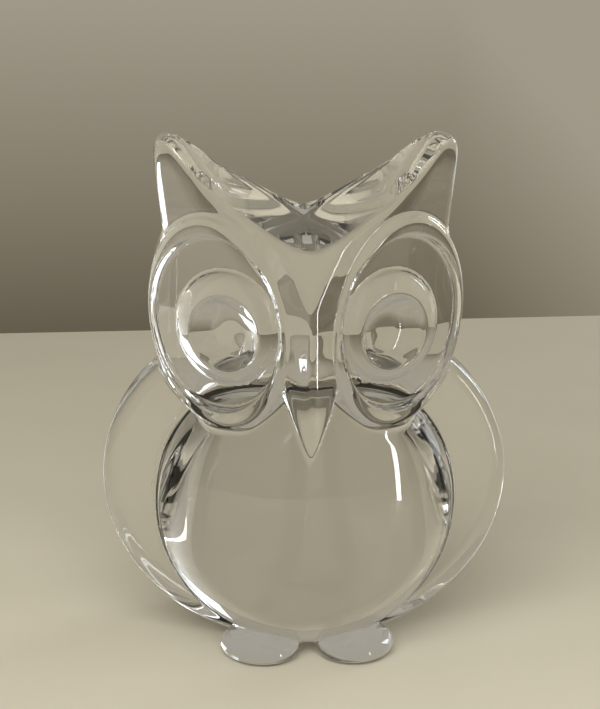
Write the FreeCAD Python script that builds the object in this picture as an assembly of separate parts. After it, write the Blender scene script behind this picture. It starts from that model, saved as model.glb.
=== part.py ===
import FreeCAD, Part
import math
import os

# A clear crystal owl paperweight, sizes in millimetres. +Z is up and the face looks along -Y.
# The origin is the middle of the flat base. Left and right are the owl's own, so left is +X.
# The glass is one casting. Each node is one formed mass of it, and neighbours meet face to face.

# Driving dimensions of the body: an upright oval plate (the wings) behind a domed belly.
BODY_HALF_WIDTH = 39.7
BODY_MID_Z = 34.5
BODY_RISE = 33.0
BODY_DROP = 36.0
WING_FRONT_Y = -6.5
WING_BACK_Y = 4.5
WING_INNER_X = 22.0
WING_ROUND = 2.4
BACK_HALF_WIDTH = 29.0
BACK_RISE = 17.0
BACK_DROP = 38.0
BACK_CENTRE = (0.0, -2.0, 0.0)
BACK_RADII = (40.0, 28.0, 72.0)
BELLY_HALF_WIDTH = 29.4
BELLY_HALF_HEIGHT = 28.3
BELLY_MID_Z = 29.0
BELLY_FRONT_CENTRE = (0.0, 14.0, 28.0)
BELLY_FRONT_RADII = (40.0, 37.5, 46.0)
BELLY_ROUND = 3.5

# The face: two upright planes that meet at a sharp ridge, and a sloping forehead above it.
FACE_YAW = 32.0
RIDGE_Y = -26.0
FOREHEAD_Z = 73.0
FOREHEAD_RISE = 3.2
NECK_Z = 60.0
NECK_HALF_WIDTH = 24.1
HEAD_BACK_Y = 11.0
HEAD_BACK_RADIUS = 125.0
NAPE_Z = 57.0
NAPE_SLOPE = 0.6
CROWN_BACK_Z = 73.0
CROWN_BACK_SLOPE = 0.35
CROWN_BACK_SPREAD = 0.4
BEAK_TIP_Z = 43.1
BEAK_SPREAD = 2.66
BEAK_HALF_WIDTH = 9.0
BEAK_BACK_Y = -14.0
BEAK_TOP_Z = 82.0

# The crown: a V-shaped trough between the ear tufts that climbs towards the back of the head.
SADDLE_Z = 83.6
SADDLE_FRONT_Y = -17.0
SADDLE_CLIMB = 0.2
SADDLE_ROUND = 3.0
CROWN_SLOPE = 0.5
CROWN_LIFT_X = 14.0
CROWN_LIFT = 0.028
TROUGH_HALF_WIDTH = 20.5
TROUGH_STEPS = 6

# Ear tufts: a round-topped horn at each corner of the head that falls slightly towards the back.
# A sloping plane parts each tuft from the head.
TUFT_X = 24.4
TUFT_Z = 99.4
TUFT_RADIUS = 4.4
TUFT_FRONT_Y = -11.0
TUFT_FALL = 0.18
TUFT_ROOT = (26.0, 84.5)
TUFT_ROOT_SLOPE = 31.3

# Eyes: a leaning oval dish on each face plane, with a domed iris dimpled by the pupil.
EYE_X = 17.5
EYE_Z = 67.4
EYE_LEAN = 12.0
DISC_RADII = (14.9, 20.8)
DISC_FRONT = 1.4
DISC_BACK = -6.0
BOWL_RADII = (13.9, 16.8)
BOWL_FLOOR = -0.8
IRIS_AT = (-1.9, -0.6)
IRIS_RADII = (11.2, 11.0, 4.6)
IRIS_BASE = -1.4
PUPIL_AT = (-3.0, -1.6)
PUPIL_RADIUS = 9.2
PUPIL_BASE = 7.6

# Feet: two low rounded lobes under the front of the belly, toes turned out.
FOOT_AT = (9.4, -13.0, 1.6)
FOOT_RADII = (7.7, 9.0, 3.6)
FOOT_TURN = 17.0

FAR = 200.0


def vec(x, y, z):
    return FreeCAD.Vector(x, y, z)


def ellipsoid(centre, radii, turn=0.0):
    """An ellipsoid with its poles along X, turned about Z and moved to its centre."""
    ball = Part.makeSphere(1.0)
    ball.rotate(vec(0, 0, 0), vec(0, 1, 0), 90)
    stretch = FreeCAD.Matrix()
    stretch.scale(*radii)
    ball = ball.transformGeometry(stretch)
    ball.rotate(vec(0, 0, 0), vec(0, 0, 1), turn)
    ball.translate(vec(*centre))
    return ball


def half_ellipse(centre, half_width, height):
    """The upper (height > 0) or lower half of an upright ellipse, from one side to the other."""
    side = half_width if height > 0 else -half_width
    major = vec(side, 0, 0)
    minor = vec(0, 0, height)
    if abs(height) > half_width:
        major, minor = minor, vec(-side, 0, 0)
    curve = Part.Ellipse(centre + major, centre + minor, centre)
    if abs(height) > half_width:
        return Part.ArcOfEllipse(curve, -math.pi / 2, math.pi / 2).toShape()
    return Part.ArcOfEllipse(curve, 0, math.pi).toShape()


def oval_plate(half_width, rise, drop, mid_z, front_y, back_y):
    """An upright plate whose outline is an ellipse with its own height above and below mid_z."""
    centre = vec(0, front_y, mid_z)
    outline = Part.Wire([half_ellipse(centre, half_width, rise), half_ellipse(centre, half_width, -drop)])
    return Part.Face(outline).extrude(vec(0, back_y - front_y, 0))


def half_space(point, normal):
    """A large block that fills the side of a plane that the normal points to."""
    block = Part.makeBox(2 * FAR, 2 * FAR, FAR, vec(-FAR, -FAR, 0))
    turn = FreeCAD.Rotation(vec(0, 0, 1), vec(*normal))
    block.Placement = FreeCAD.Placement(vec(*point), turn)
    return block


def mirrored(shape):
    return shape.mirror(vec(0, 0, 0), vec(1, 0, 0))


def flipped(point):
    return vec(-point.x, point.y, point.z)


def both_sides(shape):
    return shape.fuse(mirrored(shape))


def eye_placement():
    """The left eye's frame: X along the face plane, Y up and Z out of the face."""
    yaw = math.radians(FACE_YAW)
    along = vec(math.cos(yaw), math.sin(yaw), 0)
    out = vec(math.sin(yaw), -math.cos(yaw), 0)
    centre = vec(EYE_X, RIDGE_Y + EYE_X * math.tan(yaw), EYE_Z)
    return FreeCAD.Placement(centre, FreeCAD.Rotation(along, vec(0, 0, 1), out, "XYZ"))


def eye_oval(radii, low, high):
    """A leaning oval slab in the eye's frame, from depth low to depth high."""
    curve = Part.Ellipse(vec(0, radii[1], low), vec(-radii[0], 0, low), vec(0, 0, low))
    slab = Part.Face(Part.Wire([curve.toShape()])).extrude(vec(0, 0, high - low))
    slab.rotate(vec(0, 0, 0), vec(0, 0, 1), -EYE_LEAN)
    return slab


def placed_eye(shape):
    moved = shape.copy()
    moved.Placement = eye_placement().multiply(moved.Placement)
    return moved


def face_wedge():
    """Everything behind both face planes."""
    yaw = math.radians(FACE_YAW)
    left = half_space((0, RIDGE_Y, 0), (-math.sin(yaw), math.cos(yaw), 0))
    return left.common(mirrored(left))


def swept_back(outline, front_y, climb):
    """A front-view outline drawn at front_y, swept far to the front and back, climbing as it goes."""
    sweep = vec(0, FAR, climb * FAR)
    block = Part.Face(outline).extrude(sweep * 2)
    block.translate(vec(0, front_y, 0) - sweep)
    return block


def head_block():
    """The head from the front: straight cheeks, a round-topped tuft at each side, and no trough."""
    cheek_top = vec(TUFT_X + TUFT_RADIUS, 0, TUFT_Z)
    top = vec(TUFT_X, 0, TUFT_Z + TUFT_RADIUS)
    inner = vec(TUFT_X - TUFT_RADIUS, 0, TUFT_Z)
    lean = (cheek_top.x - NECK_HALF_WIDTH) / (TUFT_Z - NECK_Z)
    foot = vec(NECK_HALF_WIDTH - lean * NECK_Z, 0, 0)
    outline = Part.Wire(
        [
            Part.LineSegment(foot, cheek_top).toShape(),
            Part.Arc(cheek_top, top, inner).toShape(),
            Part.LineSegment(inner, flipped(inner)).toShape(),
            Part.Arc(flipped(inner), flipped(top), flipped(cheek_top)).toShape(),
            Part.LineSegment(flipped(cheek_top), flipped(foot)).toShape(),
            Part.LineSegment(flipped(foot), foot).toShape(),
        ]
    )
    above_neck = half_space((0, 0, NECK_Z), (0, 0, 1))
    return swept_back(outline, TUFT_FRONT_Y, -TUFT_FALL).common(above_neck)


def crown_z(x):
    """The crown's height at SADDLE_FRONT_Y: a V with a round bottom that steepens at the tufts."""
    reach = math.hypot(x, SADDLE_ROUND) - SADDLE_ROUND
    lift = max(x - CROWN_LIFT_X, 0)
    return SADDLE_Z + CROWN_SLOPE * reach + CROWN_LIFT * lift**2


def crown_trough():
    """The space above the crown, between the tufts."""
    stations = [TROUGH_HALF_WIDTH * step / TROUGH_STEPS for step in range(TROUGH_STEPS + 1)]
    points = [vec(x, 0, crown_z(x)) for x in stations]
    curve = Part.BSplineCurve()
    curve.interpolate([flipped(point) for point in reversed(points[1:])] + points)
    end = points[-1]
    high = vec(end.x, 0, FAR)
    outline = Part.Wire(
        [
            curve.toShape(),
            Part.LineSegment(end, high).toShape(),
            Part.LineSegment(high, flipped(high)).toShape(),
            Part.LineSegment(flipped(high), flipped(end)).toShape(),
        ]
    )
    return swept_back(outline, SADDLE_FRONT_Y, SADDLE_CLIMB)


def head_back():
    """The bounds of the back of the head: a broad upright curve that slopes in at the nape."""
    curve = Part.makeCylinder(HEAD_BACK_RADIUS, FAR, vec(0, HEAD_BACK_Y - HEAD_BACK_RADIUS, 0))
    nape = half_space((0, HEAD_BACK_Y, NAPE_Z), (0, -1, NAPE_SLOPE))
    return curve.common(nape)


def crown_back():
    """The space behind the crown, where its back slopes forward in a V between the tufts."""
    side = half_space((0, HEAD_BACK_Y, CROWN_BACK_Z), (-CROWN_BACK_SPREAD, 1, CROWN_BACK_SLOPE))
    return side.common(mirrored(side))


def beak_blank():
    """An upright wedge under the ridge, cut to a V at the bottom."""
    tip = vec(0, BEAK_BACK_Y, BEAK_TIP_Z)
    side_z = BEAK_TIP_Z + BEAK_SPREAD * BEAK_HALF_WIDTH
    corners = [
        tip,
        vec(BEAK_HALF_WIDTH, BEAK_BACK_Y, side_z),
        vec(BEAK_HALF_WIDTH, BEAK_BACK_Y, BEAK_TOP_Z),
        vec(-BEAK_HALF_WIDTH, BEAK_BACK_Y, BEAK_TOP_Z),
        vec(-BEAK_HALF_WIDTH, BEAK_BACK_Y, side_z),
    ]
    outline = Part.makePolygon(corners + [tip])
    return Part.Face(outline).extrude(vec(0, 2 * RIDGE_Y, 0))


def tuft_space():
    """The space above the sloping plane where the left ear tuft leaves the head."""
    slope = math.radians(TUFT_ROOT_SLOPE)
    return half_space((TUFT_ROOT[0], 0, TUFT_ROOT[1]), (math.sin(slope), 0, math.cos(slope)))


def make_head_parts():
    forehead = half_space((0, RIDGE_Y, FOREHEAD_Z), (0, FOREHEAD_RISE, -1))
    limits = face_wedge().common(forehead).common(head_back())
    sockets = both_sides(placed_eye(eye_oval(DISC_RADII, -FAR / 4, 0)))
    beak_bar = beak_blank()
    whole = head_block().fuse([sockets, beak_bar]).cut([crown_trough(), crown_back()]).common(limits)

    slab = eye_oval(DISC_RADII, DISC_BACK, DISC_FRONT)
    bowl = eye_oval(BOWL_RADII, BOWL_FLOOR, 2 * DISC_FRONT)
    disc = placed_eye(slab.cut(bowl))
    slab = placed_eye(slab)

    dome = ellipsoid((*IRIS_AT, IRIS_BASE), IRIS_RADII)
    floor = half_space((0, 0, BOWL_FLOOR), (0, 0, 1))
    pupil = Part.makeSphere(PUPIL_RADIUS, vec(*PUPIL_AT, PUPIL_BASE))
    iris = placed_eye(dome.common(floor).cut(pupil))
    disc = disc.cut(iris)

    beak = beak_bar.common(limits).cut(both_sides(slab))
    tuft = whole.common(tuft_space())
    core = whole.cut([slab, mirrored(slab), beak_bar, tuft_space(), mirrored(tuft_space())])
    parts = {
        "head": core,
        "beak": beak,
        "left_eye_disc": disc,
        "left_iris": iris,
        "left_ear_tuft": tuft.cut(slab),
    }
    for name in ("eye_disc", "iris", "ear_tuft"):
        parts["right_" + name] = mirrored(parts["left_" + name])
    cover = whole.fuse([slab, mirrored(slab)])
    return parts, cover


def make_body_parts(head_cover):
    above_base = half_space((0, 0, 0), (0, 0, 1))
    plate = oval_plate(BODY_HALF_WIDTH, BODY_RISE, BODY_DROP, BODY_MID_Z, WING_FRONT_Y, WING_BACK_Y)
    plate = plate.makeFillet(WING_ROUND, rim_edges(plate, (WING_FRONT_Y, WING_BACK_Y)))
    wing_side = half_space((WING_INNER_X, 0, 0), (1, 0, 0))
    left_wing = plate.common(wing_side).common(above_base).cut(head_cover)

    back = oval_plate(BACK_HALF_WIDTH, BACK_RISE, BACK_DROP, BODY_MID_Z, WING_BACK_Y, FAR)
    back = back.common(ellipsoid(BACK_CENTRE, BACK_RADII))
    middle = plate.cut([wing_side, mirrored(wing_side)])
    torso = middle.fuse(back).common(above_base).cut(head_cover)

    size = [BELLY_HALF_WIDTH, BELLY_HALF_HEIGHT, BELLY_HALF_HEIGHT, BELLY_MID_Z]
    belly = oval_plate(*size, WING_FRONT_Y, -FAR)
    belly = belly.common(ellipsoid(BELLY_FRONT_CENTRE, BELLY_FRONT_RADII))
    belly = belly.makeFillet(BELLY_ROUND, front_edges(belly))

    foot = ellipsoid(FOOT_AT, FOOT_RADII, FOOT_TURN).common(above_base)
    in_front = half_space((0, WING_FRONT_Y, 0), (0, -1, 0))
    own_side = half_space((0, 0, 0), (1, 0, 0))
    foot = foot.common(in_front).common(own_side).cut(belly)
    return {
        "torso": torso,
        "belly": belly.cut(head_cover),
        "left_wing": left_wing,
        "right_wing": mirrored(left_wing),
        "left_foot": foot,
        "right_foot": mirrored(foot),
    }


def rim_edges(shape, levels):
    """The edges that lie wholly in one of the upright planes y = level."""
    def lies_at(edge, level):
        box = edge.BoundBox
        return abs(box.YMin - level) < 0.01 and abs(box.YMax - level) < 0.01

    return [edge for edge in shape.Edges if any(lies_at(edge, level) for level in levels)]


def front_edges(shape):
    """The edges of the belly that lie forward of its flat back, where the dome meets the wall."""
    return [edge for edge in shape.Edges if edge.BoundBox.YMax < WING_FRONT_Y - 1]


def main():
    os.makedirs("parts", exist_ok=True)
    parts, head_cover = make_head_parts()
    parts.update(make_body_parts(head_cover))
    for name, shape in parts.items():
        solids = shape.Solids
        print(name, len(solids), shape.isValid(), round(shape.Volume / 1000, 2), "cm3", shape.BoundBox)
        shape.exportStep(f"parts/{name}.step")


main()
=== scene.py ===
import math

import bmesh
import bpy
import numpy as np
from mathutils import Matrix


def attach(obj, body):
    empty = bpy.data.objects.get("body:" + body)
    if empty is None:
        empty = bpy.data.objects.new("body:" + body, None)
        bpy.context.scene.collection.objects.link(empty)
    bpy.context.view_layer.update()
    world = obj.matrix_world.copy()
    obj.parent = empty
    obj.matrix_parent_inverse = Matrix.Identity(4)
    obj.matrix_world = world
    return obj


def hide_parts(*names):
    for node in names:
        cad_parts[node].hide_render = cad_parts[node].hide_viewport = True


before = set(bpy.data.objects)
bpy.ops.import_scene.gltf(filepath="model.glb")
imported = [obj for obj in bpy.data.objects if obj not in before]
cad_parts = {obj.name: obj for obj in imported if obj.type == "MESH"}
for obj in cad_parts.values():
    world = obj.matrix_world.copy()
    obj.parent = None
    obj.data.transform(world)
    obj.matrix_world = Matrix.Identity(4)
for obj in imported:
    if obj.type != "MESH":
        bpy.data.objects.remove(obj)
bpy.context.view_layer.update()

import openvdb
from mathutils import Matrix, Vector

# The owl is worked out in millimetres, in the row frame, and turned to metres in its meshes.
# It is one casting, so its skin is one smooth distance field, f(x, y, z) = 0, with soft blends
# between the formed masses. It keeps within about 3 mm of the CAD solids, except at the ear tufts
# (slimmer, up to 6 mm inside them), behind the eyes and at the neck (up to 5 mm outside them). The
# skin is then cut close to the CAD masses' boundaries, into one closed piece per node.
MM = 0.001

BODY_HALF_WIDTH = 40.2
BODY_MID_Z = 34.5
BODY_RISE = 33.0
BODY_DROP = 36.0
WING_MID_Y = -1.0
WING_HALF_THICKNESS = 5.5
WING_ROUND = 3.6
BACK_HALF_WIDTH = 29.4
BACK_RISE = 17.0
BACK_DROP = 38.5
BACK_CENTRE = (0.0, -2.0, 0.0)
BACK_RADII = (40.0, 28.2, 72.0)
BACK_ROUND = 9.0
BELLY_HALF_WIDTH = 30.2
BELLY_HALF_HEIGHT = 28.6
BELLY_MID_Z = 29.0
BELLY_FRONT_CENTRE = (0.0, 14.0, 28.0)
BELLY_FRONT_RADII = (40.0, 37.5, 46.0)
BELLY_ROUND = 8.0

FACE_YAW = math.radians(32)
RIDGE_Y = -26.0
FOREHEAD_Z = 73.0
FOREHEAD_RISE = 3.2
CHEEK_FOOT_Z = 58.0
CHEEK_X = 27.6
CHEEK_Z = 85.5
CHEEK_LEAN = 0.12
SADDLE_Z = 83.6
SADDLE_FRONT_Y = -17.0
SADDLE_SLOPE = 0.2
SADDLE_ROUND = 3.0
CROWN_SLOPE = 0.5
CROWN_LIFT_X = 14.0
CROWN_LIFT = 0.028
CROWN_BACK_Z = 70.0
CROWN_BACK_CURVE = 0.017
CROWN_BACK_FADE = 2.2
HEAD_BACK_Y = 11.0
HEAD_BACK_CURVE = 0.004
NAPE_Z = 57.0
NAPE_CURVE = 0.08
BEAK_TIP_Z = 43.1
BEAK_SPREAD = 2.66
BEAK_HALF_WIDTH = 9.0
BEAK_BAR_TOP_Z = 66.0
TUFT_TOP_Z = 104.9
TUFT_FRONT_Y = -11.0
TUFT_FALL = 0.18
TUFT_ROUND = 4.6

EYE_X = 17.5
EYE_Y = RIDGE_Y + EYE_X * math.tan(FACE_YAW)
EYE_Z = 67.4
EYE_LEAN = math.radians(12)
DISC_RADII = (14.9, 20.8)
DISC_FRONT = 1.4
DISC_BACK = -6.0
BOWL_RADII = (13.9, 16.8)
BOWL_FLOOR = -0.8
IRIS_AT = (-1.9, -0.6)
IRIS_RADII = (11.2, 11.0, 4.6)
IRIS_BASE = -1.4
PUPIL_AT = (-3.0, -1.6)
PUPIL_RADIUS = 9.2
PUPIL_BASE = 7.6

FOOT_AT = (9.4, -13.0, 1.6)
FOOT_RADII = (7.7, 9.0, 3.6)
FOOT_TURN = math.radians(17)

# The neck fills in behind the eye discs, and the blend there softens towards the nape.
NECK_AT = (0.0, 0.0, 55.5)
NECK_RADII = (19.0, 8.0, 8.2)
NECK_BLEND_FRONT = 1.4
NECK_BLEND_BACK = 4.6

# How wide the other blends and rounded edges are.
MASS_ROUND = 2.0
BACK_BLEND = 1.5
BELLY_BLEND = 1.0
CHEEK_FOOT_ROUND = 3.0
BAR_ROUND = 2.0
SOCKET_BLEND = 1.5
RIDGE_ROUND = 0.8
RIDGE_INSET = 0.3
BEAK_TIP_INSET = 0.5
FOREHEAD_ROUND = 1.0
FACE_ROUND = 1.6
HEAD_BACK_ROUND = 4.0
DISC_ROUND = 2.2
DISC_BACK_ROUND = 1.0
DISC_BLEND = 0.8
BOWL_ROUND = 0.8
BOWL_LIP_ROUND = 0.7
IRIS_FLOOR = -4.0
IRIS_BLEND = 0.5
PUPIL_ROUND = 0.6
FOOT_BLEND = 0.6
BASE_ROUND = 0.8

GRID_LOW = np.array([-41.5, -29.5, -1.0])
GRID_HIGH = np.array([41.5, 28.0, 104.0])
GRID_STEP = 0.42
GRID_SLAB = 24
GRID_OUTSIDE = 1000.0
SKIN_STEPS = 4
SLOPE_STEP = 0.02
TINY = 1e-6
TINY_NORMAL = 1e-9


# ---- the distance field ----


def smooth_min(a, b, radius):
    """The union of two fields, with a blend about radius wide where they meet."""
    share = np.clip(0.5 + 0.5 * (b - a) / radius, 0, 1)
    return b * (1 - share) + a * share - radius * share * (1 - share)


def smooth_max(a, b, radius):
    """The overlap of two fields, with its edge rounded over about radius."""
    return -smooth_min(-a, -b, radius)


def ellipsoid(x, y, z, centre, radii):
    offset = [(p - c) / r for p, c, r in zip((x, y, z), centre, radii)]
    reach = np.sqrt(sum(q * q for q in offset))
    slope = np.sqrt(sum((q / r) ** 2 for q, r in zip(offset, radii))) + TINY
    return reach * (reach - 1) / slope


def ellipse(u, v, half_u, half_v):
    reach = np.sqrt((u / half_u) ** 2 + (v / half_v) ** 2)
    slope = np.sqrt((u / half_u**2) ** 2 + (v / half_v**2) ** 2) + TINY
    return reach * (reach - 1) / slope


def half_space(value, *slopes):
    """A field negative where value is; value climbs by 1 along one axis and by slopes along others."""
    return value / np.sqrt(1 + sum(s * s for s in slopes))


def oval(x, z, half_width, rise, drop):
    """The body's outline seen from the front: an ellipse that is deeper below than above."""
    height = z - BODY_MID_Z
    return ellipse(x, height, half_width, np.where(height > 0, rise, drop))


def body_field(side, y, z):
    wing_face = np.abs(y - WING_MID_Y) - WING_HALF_THICKNESS
    wings = smooth_max(oval(side, z, BODY_HALF_WIDTH, BODY_RISE, BODY_DROP), wing_face, WING_ROUND)
    back = oval(side, z, BACK_HALF_WIDTH, BACK_RISE, BACK_DROP)
    back = smooth_max(back, ellipsoid(side, y, z, BACK_CENTRE, BACK_RADII), BACK_ROUND)
    back = smooth_max(back, WING_MID_Y - y, MASS_ROUND)
    belly = ellipse(side, z - BELLY_MID_Z, BELLY_HALF_WIDTH, BELLY_HALF_HEIGHT)
    belly = smooth_max(belly, ellipsoid(side, y, z, BELLY_FRONT_CENTRE, BELLY_FRONT_RADII), BELLY_ROUND)
    belly = smooth_max(belly, y - WING_MID_Y, MASS_ROUND)
    return smooth_min(smooth_min(back, wings, BACK_BLEND), belly, BELLY_BLEND)


def crown_rise(side):
    """How much higher the crown is at each side than on the owl's middle line."""
    reach = np.sqrt(side**2 + SADDLE_ROUND**2) - SADDLE_ROUND
    return CROWN_SLOPE * reach + CROWN_LIFT * np.maximum(side - CROWN_LIFT_X, 0) ** 2


def head_outline(side, ridge_side, y, z, socket):
    """The head from the front: crown, cheeks and round tufts, the beak's bar and the eye discs."""
    rise = crown_rise(side)
    steep = CROWN_SLOPE + 2 * CROWN_LIFT * np.maximum(side - CROWN_LIFT_X, 0)
    crown = half_space(z - SADDLE_Z - rise - SADDLE_SLOPE * (y - SADDLE_FRONT_Y), steep, SADDLE_SLOPE)
    cheek = half_space(side - CHEEK_X - CHEEK_LEAN * (z - CHEEK_Z), CHEEK_LEAN)
    tuft_top = z - TUFT_TOP_Z + TUFT_FALL * (y - TUFT_FRONT_Y)
    tufts = smooth_max(smooth_max(crown, tuft_top, TUFT_ROUND), cheek, TUFT_ROUND)
    horn = smooth_max(tufts, CHEEK_FOOT_Z - z, CHEEK_FOOT_ROUND)
    vee = half_space(BEAK_TIP_Z + BEAK_SPREAD * (ridge_side - BEAK_TIP_INSET) - z, BEAK_SPREAD)
    bar = smooth_max(vee, z - BEAK_BAR_TOP_Z, BAR_ROUND)
    bar = smooth_max(side - BEAK_HALF_WIDTH, bar, BAR_ROUND)
    return smooth_min(smooth_min(horn, bar, BAR_ROUND), socket, SOCKET_BLEND)


def head_field(side, y, z):
    ridge_side = np.sqrt(side**2 + RIDGE_ROUND**2) - RIDGE_INSET
    cos_yaw, sin_yaw = math.cos(FACE_YAW), math.sin(FACE_YAW)
    out = ridge_side * sin_yaw - (y - RIDGE_Y) * cos_yaw
    along = (side - EYE_X) * cos_yaw + (y - EYE_Y) * sin_yaw
    up = z - EYE_Z
    lean_u = along * math.cos(EYE_LEAN) - up * math.sin(EYE_LEAN)
    lean_v = along * math.sin(EYE_LEAN) + up * math.cos(EYE_LEAN)
    disc = ellipse(lean_u, lean_v, *DISC_RADII)
    across = (side - EYE_X) / cos_yaw
    bar_u = across * math.cos(EYE_LEAN) - up * math.sin(EYE_LEAN)
    bar_v = across * math.sin(EYE_LEAN) + up * math.cos(EYE_LEAN)
    socket = ellipse(bar_u, bar_v, *DISC_RADII) * cos_yaw
    bowl = ellipse(lean_u, lean_v, *BOWL_RADII)

    forehead = half_space(z - FOREHEAD_Z - FOREHEAD_RISE * (y - RIDGE_Y), FOREHEAD_RISE)
    head = head_outline(side, ridge_side, y, z, socket)
    head = smooth_max(head, smooth_max(out, forehead, FOREHEAD_ROUND), FACE_ROUND)
    below = np.maximum(NAPE_Z - z, 0)
    above = np.maximum(z - CROWN_BACK_Z - CROWN_BACK_FADE * crown_rise(side), 0)
    hollow = NAPE_CURVE * below**2 + CROWN_BACK_CURVE * above**2 + HEAD_BACK_CURVE * side**2
    tilt = 2 * (NAPE_CURVE * below + CROWN_BACK_CURVE * above)
    back = half_space(y - HEAD_BACK_Y + hollow, tilt, 2 * HEAD_BACK_CURVE * side)
    head = smooth_max(head, back, HEAD_BACK_ROUND)

    rim = smooth_max(disc, out - DISC_FRONT, DISC_ROUND)
    rim = smooth_max(rim, DISC_BACK - out, DISC_BACK_ROUND)
    head = smooth_min(head, rim, DISC_BLEND)
    head = smooth_max(head, -smooth_max(bowl, BOWL_FLOOR - out, BOWL_ROUND), BOWL_LIP_ROUND)

    iris = ellipsoid(along - IRIS_AT[0], up - IRIS_AT[1], out, (0, 0, IRIS_BASE), IRIS_RADII)
    pupil_at = (along - PUPIL_AT[0], up - PUPIL_AT[1], out - PUPIL_BASE)
    pupil = np.sqrt(sum(p * p for p in pupil_at)) - PUPIL_RADIUS
    iris = smooth_max(iris, -pupil, PUPIL_ROUND)
    iris = smooth_max(iris, IRIS_FLOOR - out, IRIS_BLEND)
    return smooth_min(head, iris, IRIS_BLEND)


def foot_field(side, y, z):
    x, toe = side - FOOT_AT[0], y - FOOT_AT[1]
    turned_x = x * math.cos(FOOT_TURN) - toe * math.sin(FOOT_TURN)
    turned_y = x * math.sin(FOOT_TURN) + toe * math.cos(FOOT_TURN)
    return ellipsoid(turned_x, turned_y, z, (0, 0, FOOT_AT[2]), FOOT_RADII)


def owl_field(x, y, z):
    """Negative inside the glass, positive outside, and close to distance near the skin."""
    side = np.abs(x)
    toward_back = np.clip(y / HEAD_BACK_Y, 0, 1)
    neck_blend = NECK_BLEND_FRONT + (NECK_BLEND_BACK - NECK_BLEND_FRONT) * toward_back
    neck = ellipsoid(side, y, z, NECK_AT, NECK_RADII)
    body = smooth_min(body_field(side, y, z), neck, NECK_BLEND_FRONT)
    owl = smooth_min(head_field(side, y, z), body, neck_blend)
    owl = smooth_min(owl, foot_field(side, y, z), FOOT_BLEND)
    return smooth_max(owl, -z, BASE_ROUND)


def slope_of_field(points):
    slope = np.empty_like(points)
    for axis in range(3):
        shift = np.zeros(3)
        shift[axis] = SLOPE_STEP
        rise = owl_field(*(points + shift).T) - owl_field(*(points - shift).T)
        slope[:, axis] = rise / (2 * SLOPE_STEP)
    return slope


# ---- the skin as a mesh ----


def sampled_field():
    counts = np.ceil((GRID_HIGH - GRID_LOW) / GRID_STEP).astype(int) + 1
    xs, ys, zs = [
        (low + GRID_STEP * np.arange(count)).astype(np.float32)
        for low, count in zip(GRID_LOW, counts)
    ]
    values = np.empty(counts, dtype=np.float32)
    for start in range(0, counts[0], GRID_SLAB):
        slab = slice(start, start + GRID_SLAB)
        values[slab] = owl_field(*np.meshgrid(xs[slab], ys, zs, indexing="ij"))
    return values


def skin_mesh():
    """The whole owl as one closed mesh in millimetres, its vertices moved onto the field's zero."""
    grid = openvdb.FloatGrid(GRID_OUTSIDE)
    grid.copyFromArray(sampled_field())
    points, quads = grid.convertToQuads(isovalue=0.0)
    points = points.astype(float) * GRID_STEP + GRID_LOW
    for _ in range(SKIN_STEPS):
        slope = slope_of_field(points)
        square = np.maximum((slope * slope).sum(axis=1), TINY)
        move = np.clip(owl_field(*points.T), -GRID_STEP, GRID_STEP)
        points -= (move / square)[:, None] * slope
    mesh = bpy.data.meshes.new("owl_skin")
    mesh.from_pydata(points.tolist(), [], quads.tolist())
    return mesh


def smooth_normals(mesh):
    """Gives the skin the field's own normals, and the flat joints inside the glass their own."""
    points = np.empty(len(mesh.vertices) * 3)
    mesh.vertices.foreach_get("co", points)
    slope = slope_of_field(points.reshape(-1, 3) / MM)
    slope /= np.maximum(np.linalg.norm(slope, axis=1), TINY_NORMAL)[:, None]
    corners = np.empty(len(mesh.loops), dtype=int)
    mesh.loops.foreach_get("vertex_index", corners)
    normals = slope[corners]
    mesh.shade_smooth()
    for face in mesh.polygons:
        if face.material_index == JOINT_FACE:
            normals[list(face.loop_indices)] = face.normal
    mesh.normals_split_custom_set(normals.tolist())


# ---- cutting the casting into the CAD model's masses ----

JOINT_FACE = 1
REACH = 120.0
CLEAR = 0.4
NECK_Z = 60.0
BEAK_BACK_Y = -14.0
BEAK_TOP_Z = 82.0
WING_INNER_X = 22.0
TUFT_ROOT = (26.0, 0.0, 84.5)
TUFT_ROOT_SLOPE = math.radians(31.3)
IRIS_CUT_RADIUS = 11.4
IRIS_CUT_FLOOR = -0.6
IRIS_CUT_FRONT = 20.0
DISC_CUT_FRONT = 4.2
EYE_BAR_BACK = -40.0
OVAL_SIDES = 192
FOOT_SEGMENTS = 96
FOOT_RINGS = 64


def as_object(mesh):
    """An object for a mesh whose faces are glass, or joints if the mesh is a cutter."""
    owner = bpy.data.objects.new(mesh.name, mesh)
    bpy.context.scene.collection.objects.link(owner)
    for material in (crystal, joint):
        mesh.materials.append(material)
    return owner


def cutter(name, shape):
    """A cutter object from a bmesh; every face it leaves in the glass is a joint face."""
    bmesh.ops.recalc_face_normals(shape, faces=shape.faces)
    for face in shape.faces:
        face.material_index = JOINT_FACE
    mesh = bpy.data.meshes.new(name)
    shape.to_mesh(mesh)
    shape.free()
    return as_object(mesh)


def box_cutter(name, low, high, turn=Matrix.Identity(4)):
    shape = bmesh.new()
    bmesh.ops.create_cube(shape, size=1.0)
    size = Vector(high) - Vector(low)
    middle = (Vector(high) + Vector(low)) / 2
    bmesh.ops.transform(
        shape, verts=shape.verts, matrix=turn @ Matrix.Translation(middle) @ Matrix.Diagonal((*size, 1))
    )
    return cutter(name, shape)


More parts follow.
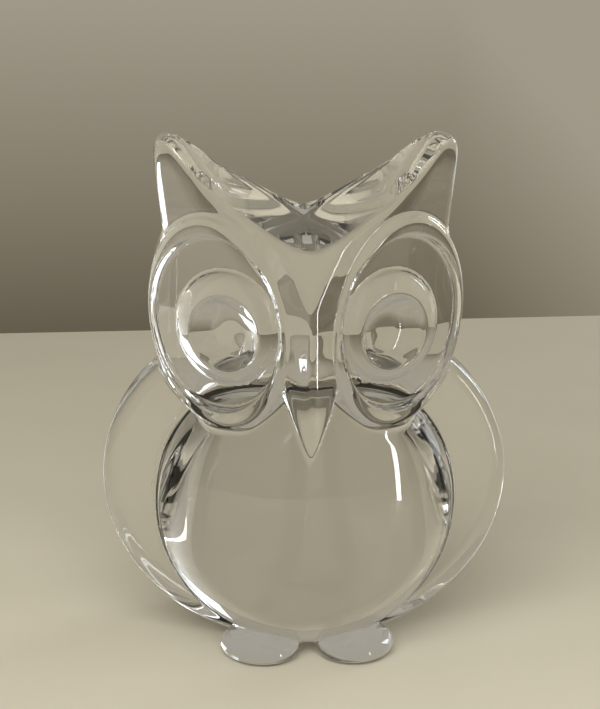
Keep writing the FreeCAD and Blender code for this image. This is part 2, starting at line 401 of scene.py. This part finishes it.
def eye_frame(sign):
    """X along the face plane, Y up and Z out of the face, on the owl's left (1) or right (-1)."""
    cos_yaw, sin_yaw = math.cos(FACE_YAW), math.sin(FACE_YAW)
    frame_at = Matrix.Identity(4)
    frame_at.col[0] = (sign * cos_yaw, sin_yaw, 0, 0)
    frame_at.col[1] = (0, 0, 1, 0)
    frame_at.col[2] = (sign * sin_yaw, -cos_yaw, 0, 0)
    frame_at.col[3] = (sign * EYE_X, EYE_Y, EYE_Z, 1)
    return frame_at


def oval_cutter(name, sign, centre, radii, lean, low, high):
    """An oval slab in an eye's frame, from depth low to depth high."""
    rings = []
    shape = bmesh.new()
    for depth in (low, high):
        ring = []
        for index in range(OVAL_SIDES):
            turn = 2 * math.pi * index / OVAL_SIDES
            u, v = radii[0] * math.cos(turn), radii[1] * math.sin(turn)
            across = centre[0] + u * math.cos(lean) + v * math.sin(lean)
            up = centre[1] - u * math.sin(lean) + v * math.cos(lean)
            ring.append(shape.verts.new((across, up, depth)))
        rings.append(ring)
    for index in range(OVAL_SIDES):
        after = (index + 1) % OVAL_SIDES
        shape.faces.new((rings[0][index], rings[0][after], rings[1][after], rings[1][index]))
    for ring in rings:
        shape.faces.new(ring)
    bmesh.ops.transform(shape, verts=shape.verts, matrix=eye_frame(sign))
    return cutter(name, shape)


def beak_cutter():
    """A wedge under the brow, a little below the beak's V to take in its blend with the belly."""
    tip_z = BEAK_TIP_Z - 2 * CLEAR
    side_z = tip_z + BEAK_SPREAD * BEAK_HALF_WIDTH
    half = BEAK_HALF_WIDTH
    corners = [(0, tip_z), (half, side_z), (half, BEAK_TOP_Z), (-half, BEAK_TOP_Z), (-half, side_z)]
    shape = bmesh.new()
    front = [shape.verts.new((x, -REACH, z)) for x, z in corners]
    back = [shape.verts.new((x, BEAK_BACK_Y, z)) for x, z in corners]
    for index in range(len(corners)):
        after = (index + 1) % len(corners)
        shape.faces.new((front[index], front[after], back[after], back[index]))
    shape.faces.new(front)
    shape.faces.new(back)
    return cutter("beak_cutter", shape)


def foot_cutter(sign):
    shape = bmesh.new()
    bmesh.ops.create_uvsphere(shape, u_segments=FOOT_SEGMENTS, v_segments=FOOT_RINGS, radius=1.0)
    radii = [radius + CLEAR for radius in FOOT_RADII]
    place = Matrix.Translation((sign * FOOT_AT[0], *FOOT_AT[1:]))
    place = place @ Matrix.Rotation(-sign * FOOT_TURN, 4, "Z") @ Matrix.Diagonal((*radii, 1))
    bmesh.ops.transform(shape, verts=shape.verts, matrix=place)
    lobe = cutter("foot_lobe", shape)
    low, high = sorted((0.0, sign * REACH))
    half = box_cutter("foot_half", (low, -REACH, -REACH), (high, REACH, REACH))
    return combined(lobe, half, "INTERSECT")


def tuft_cutter(sign):
    lean = Matrix.Translation((sign * TUFT_ROOT[0], 0, TUFT_ROOT[2]))
    lean = lean @ Matrix.Rotation(sign * TUFT_ROOT_SLOPE, 4, "Y")
    return box_cutter("tuft_cutter", (-REACH, -REACH, 0), (REACH, REACH, REACH), lean)


def head_cutter():
    """Everything above the neck, with both eye ovals carried back through the head."""
    head = box_cutter("head_cutter", (-REACH, -REACH, NECK_Z), (REACH, REACH, REACH))
    for sign in (1, -1):
        radii = [radius + CLEAR for radius in DISC_RADII]
        oval_bar = oval_cutter("eye_bar", sign, (0, 0), radii, EYE_LEAN, EYE_BAR_BACK, DISC_BACK)
        head = combined(head, oval_bar, "UNION")
    return head


def combined(first, second, operation, keep=False):
    """The boolean of two objects as the first's new mesh; the second goes unless it is kept."""
    step = first.modifiers.new(operation, "BOOLEAN")
    step.solver = "MANIFOLD"
    step.operation = operation
    step.object = second
    seen = first.evaluated_get(bpy.context.evaluated_depsgraph_get())
    mesh = bpy.data.meshes.new_from_object(seen)
    first.modifiers.clear()
    first.data = mesh
    if not keep:
        bpy.data.objects.remove(second)
    return first


def take(casting, name, tool):
    """Cuts the tool's space out of the casting and returns it as the piece for that CAD node."""
    piece = casting.copy()
    bpy.context.scene.collection.objects.link(piece)
    combined(piece, tool, "INTERSECT", keep=True)
    combined(casting, tool, "DIFFERENCE")
    piece.name = f"{name}_crystal"
    return name, piece


def cut_casting(casting):
    pieces = []
    for side, sign in (("left", 1), ("right", -1)):
        radii = (IRIS_CUT_RADIUS, IRIS_CUT_RADIUS)
        tool = oval_cutter("iris_cutter", sign, IRIS_AT, radii, 0.0, IRIS_CUT_FLOOR, IRIS_CUT_FRONT)
        pieces.append(take(casting, f"{side}_iris", tool))
    for side, sign in (("left", 1), ("right", -1)):
        radii = [radius + CLEAR for radius in DISC_RADII]
        tool = oval_cutter("disc_cutter", sign, (0, 0), radii, EYE_LEAN, DISC_BACK, DISC_CUT_FRONT)
        pieces.append(take(casting, f"{side}_eye_disc", tool))
    pieces.append(take(casting, "beak", beak_cutter()))
    for side, sign in (("left", 1), ("right", -1)):
        pieces.append(take(casting, f"{side}_ear_tuft", tuft_cutter(sign)))
        pieces.append(take(casting, f"{side}_foot", foot_cutter(sign)))
    pieces.append(take(casting, "head", head_cutter()))
    wing_front = WING_MID_Y - WING_HALF_THICKNESS - CLEAR
    tool = box_cutter("belly_cutter", (-REACH, -REACH, -REACH), (REACH, wing_front, REACH))
    pieces.append(take(casting, "belly", tool))
    wing_back = WING_MID_Y + WING_HALF_THICKNESS
    for side, sign in (("left", 1), ("right", -1)):
        low, high = sorted((sign * WING_INNER_X, sign * REACH))
        tool = box_cutter("wing_cutter", (low, -REACH, -REACH), (high, wing_back, REACH))
        pieces.append(take(casting, f"{side}_wing", tool))
    casting.name = "torso_crystal"
    return pieces + [("torso", casting)]


# ---- materials ----

CRYSTAL_TINT = (0.945, 0.94, 0.93, 1)
CRYSTAL_INDEX = 1.55
WAVE_SCALE = 110.0
WAVE_DETAIL = 1.0
WAVE_STRENGTH = 0.12
WAVE_DEPTH = 0.0002
HAZE_SCALE = 45.0
HAZE_DETAIL = 4.0
HAZE_FROM = (0.5, 0.8)
HAZE_ROUGHNESS = 0.06
TABLE_ROUGHNESS = 0.55
GRAIN_SCALE = 35.0
GRAIN_DETAIL = 6.0
TABLE_DARK = (196, 189, 168)
TABLE_PALE = (203, 196, 176)


def srgb(red, green, blue):
    """A colour named by its 0 to 255 screen values, as Blender's linear values."""
    def linear(value):
        return value / 12.92 if value <= 0.04045 else ((value + 0.055) / 1.055) ** 2.4

    return tuple(linear(value / 255) for value in (red, green, blue)) + (1.0,)


def new_material(name):
    material = bpy.data.materials.new(name)
    material.use_nodes = True
    return material, material.node_tree.nodes, material.node_tree.links


def make_crystal():
    """Water-clear crystal, fire-polished: faint waves in the surface and a touch of handling haze."""
    material, nodes, links = new_material("clear_crystal")
    shader = nodes["Principled BSDF"]
    shader.inputs["Base Color"].default_value = CRYSTAL_TINT
    shader.inputs["IOR"].default_value = CRYSTAL_INDEX
    shader.inputs["Transmission Weight"].default_value = 1.0
    place = nodes.new("ShaderNodeTexCoord")
    waves = nodes.new("ShaderNodeTexNoise")
    waves.inputs["Scale"].default_value = WAVE_SCALE
    waves.inputs["Detail"].default_value = WAVE_DETAIL
    links.new(place.outputs["Object"], waves.inputs["Vector"])
    bump = nodes.new("ShaderNodeBump")
    bump.inputs["Strength"].default_value = WAVE_STRENGTH
    bump.inputs["Distance"].default_value = WAVE_DEPTH
    links.new(waves.outputs["Fac"], bump.inputs["Height"])
    links.new(bump.outputs["Normal"], shader.inputs["Normal"])
    haze = nodes.new("ShaderNodeTexNoise")
    haze.inputs["Scale"].default_value = HAZE_SCALE
    haze.inputs["Detail"].default_value = HAZE_DETAIL
    links.new(place.outputs["Object"], haze.inputs["Vector"])
    rough = nodes.new("ShaderNodeMapRange")
    rough.inputs["From Min"].default_value = HAZE_FROM[0]
    rough.inputs["From Max"].default_value = HAZE_FROM[1]
    rough.inputs["To Min"].default_value = 0.0
    rough.inputs["To Max"].default_value = HAZE_ROUGHNESS
    links.new(haze.outputs["Fac"], rough.inputs["Value"])
    links.new(rough.outputs["Result"], shader.inputs["Roughness"])
    return material


def make_joint():
    """The casting has no seams, so the faces where its masses meet are invisible."""
    material, nodes, links = new_material("casting_joint")
    nodes.remove(nodes["Principled BSDF"])
    clear = nodes.new("ShaderNodeBsdfTransparent")
    links.new(clear.outputs["BSDF"], nodes["Material Output"].inputs["Surface"])
    return material


def make_table_top():
    material, nodes, links = new_material("table_top")
    shader = nodes["Principled BSDF"]
    shader.inputs["Roughness"].default_value = TABLE_ROUGHNESS
    place = nodes.new("ShaderNodeTexCoord")
    grain = nodes.new("ShaderNodeTexNoise")
    grain.inputs["Scale"].default_value = GRAIN_SCALE
    grain.inputs["Detail"].default_value = GRAIN_DETAIL
    links.new(place.outputs["Object"], grain.inputs["Vector"])
    tint = nodes.new("ShaderNodeMix")
    tint.data_type = "RGBA"
    tint.inputs["A"].default_value = srgb(*TABLE_DARK)
    tint.inputs["B"].default_value = srgb(*TABLE_PALE)
    links.new(grain.outputs["Fac"], tint.inputs["Factor"])
    links.new(tint.outputs["Result"], shader.inputs["Base Color"])
    return material


# ---- stage, light and camera ----

# In metres. The far edge of the table is the wall's foot, with the room's corner behind the owl.
TABLE_DROP = 0.0002
TABLE_OUTLINE = [(-0.5, -0.45), (0.5, -0.45), (0.5, 0.30), (0.02, 0.277), (-0.02, 0.268), (-0.5, 0.25)]

# The wall's screen colours from straight down (0) to straight up (1), and the range of the view
# direction's X over which it turns paler to the right.
WALL_STOPS = [
    (0.0, (120, 113, 98)),
    (0.30, (110, 103, 88)),
    (0.385, (98, 91, 75)),
    (0.42, (130, 123, 106)),
    (0.47, (160, 153, 137)),
    (0.60, (161, 156, 142)),
    (1.0, (168, 164, 155)),
]
WALL_RIGHT_FROM = (0.13, 0.21)
WALL_RIGHT_LIFT = 0.04

LIGHTS_AIM = (0, 0, 0.05)
FILL_AIM = (-0.1, -0.25, 0)
WINDOW_TINT = (0.86, 0.93, 1)
LOW_WINDOW_TINT = (0.82, 0.90, 1)
WHITE = (1, 1, 1)

CAMERA_AZIMUTH = math.radians(-3)
CAMERA_ELEVATION = math.radians(14)
CAMERA_DISTANCE = 0.38
CAMERA_AIM = (-0.0008, 0, 0.0574)
CAMERA_LENS = 97.0


def make_table():
    """A plain pale table top that ends behind the owl, where the backdrop's wall starts."""
    mesh = bpy.data.meshes.new("table")
    mesh.from_pydata([(x, y, -TABLE_DROP) for x, y in TABLE_OUTLINE], [], [range(len(TABLE_OUTLINE))])
    mesh.materials.append(make_table_top())
    table = bpy.data.objects.new("table", mesh)
    bpy.context.scene.collection.objects.link(table)


def make_backdrop():
    """Soft room light: a warm grey wall that darkens towards its foot, paler above and to the right."""
    world = bpy.data.worlds.new("backdrop")
    bpy.context.scene.world = world
    world.use_nodes = True
    nodes, links = world.node_tree.nodes, world.node_tree.links
    place = nodes.new("ShaderNodeTexCoord")
    split = nodes.new("ShaderNodeSeparateXYZ")
    links.new(place.outputs["Generated"], split.inputs["Vector"])
    height = nodes.new("ShaderNodeMapRange")
    height.inputs["From Min"].default_value = -1.0
    height.inputs["From Max"].default_value = 1.0
    links.new(split.outputs["Z"], height.inputs["Value"])
    right = nodes.new("ShaderNodeMapRange")
    right.inputs["From Min"].default_value = WALL_RIGHT_FROM[0]
    right.inputs["From Max"].default_value = WALL_RIGHT_FROM[1]
    right.inputs["To Min"].default_value = 0.0
    right.inputs["To Max"].default_value = WALL_RIGHT_LIFT
    links.new(split.outputs["X"], right.inputs["Value"])
    shade = nodes.new("ShaderNodeMath")
    links.new(height.outputs["Result"], shade.inputs[0])
    links.new(right.outputs["Result"], shade.inputs[1])
    ramp = nodes.new("ShaderNodeValToRGB")
    shades = ramp.color_ramp.elements
    shades[0].color = srgb(*WALL_STOPS[0][1])
    shades[1].color = srgb(*WALL_STOPS[-1][1])
    for position, screen_color in WALL_STOPS[1:-1]:
        shades.new(position).color = srgb(*screen_color)
    links.new(shade.outputs["Value"], ramp.inputs["Fac"])
    links.new(ramp.outputs["Color"], nodes["Background"].inputs["Color"])


def area_lamp(name, place, aim, size, watts, color):
    lamp = bpy.data.lights.new(name, "AREA")
    lamp.shape = "RECTANGLE"
    lamp.size, lamp.size_y = size
    lamp.energy = watts
    lamp.color = color
    owner = bpy.data.objects.new(name, lamp)
    bpy.context.scene.collection.objects.link(owner)
    owner.location = place
    owner.rotation_euler = (Vector(aim) - Vector(place)).to_track_quat("-Z", "Y").to_euler()
    return owner


def make_lights():
    """Soft windows behind, a thin strip in front at the owl's left, and a fill for the table."""
    area_lamp(
        "rear_window",
        place=(0.9, 0.6, 0.45),
        aim=LIGHTS_AIM,
        size=(0.35, 0.4),
        watts=3.4,
        color=WINDOW_TINT,
    )
    area_lamp(
        "low_window",
        place=(0.30, 0.30, 0.05),
        aim=LIGHTS_AIM,
        size=(0.26, 0.09),
        watts=0.10,
        color=LOW_WINDOW_TINT,
    )
    area_lamp(
        "right_strip",
        place=(0.178, -0.139, 0.06),
        aim=LIGHTS_AIM,
        size=(0.011, 0.12),
        watts=0.08,
        color=WHITE,
    )
    fill = area_lamp(
        "table_fill",
        place=(-0.12, -0.35, 0.35),
        aim=FILL_AIM,
        size=(0.5, 0.3),
        watts=2.5,
        color=WHITE,
    )
    fill.visible_camera = False
    fill.visible_glossy = False
    fill.visible_transmission = False


def make_camera():
    flat = math.cos(CAMERA_ELEVATION)
    side = math.sin(CAMERA_AZIMUTH) * flat
    front = -math.cos(CAMERA_AZIMUTH) * flat
    away = Vector((side, front, math.sin(CAMERA_ELEVATION)))
    camera = bpy.data.cameras.new("camera")
    camera.lens = CAMERA_LENS
    owner = bpy.data.objects.new("camera", camera)
    bpy.context.scene.collection.objects.link(owner)
    owner.location = Vector(CAMERA_AIM) + away * CAMERA_DISTANCE
    owner.rotation_euler = away.to_track_quat("Z", "Y").to_euler()
    bpy.context.scene.camera = owner


def make_owl():
    casting = as_object(skin_mesh())
    for node, piece in cut_casting(casting):
        piece.data.name = piece.name
        piece.data.transform(Matrix.Scale(MM, 4))
        smooth_normals(piece.data)
        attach(piece, "root")
        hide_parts(node)


crystal = make_crystal()
joint = make_joint()
make_owl()
make_table()
make_backdrop()
make_lights()
make_camera()

settings = bpy.context.scene
settings.view_settings.view_transform = "Standard"
# Light crosses many glass faces, and the joints between them, before it leaves the owl.
settings.cycles.max_bounces = 32
settings.cycles.transmission_bounces = 24
settings.cycles.transparent_max_bounces = 64
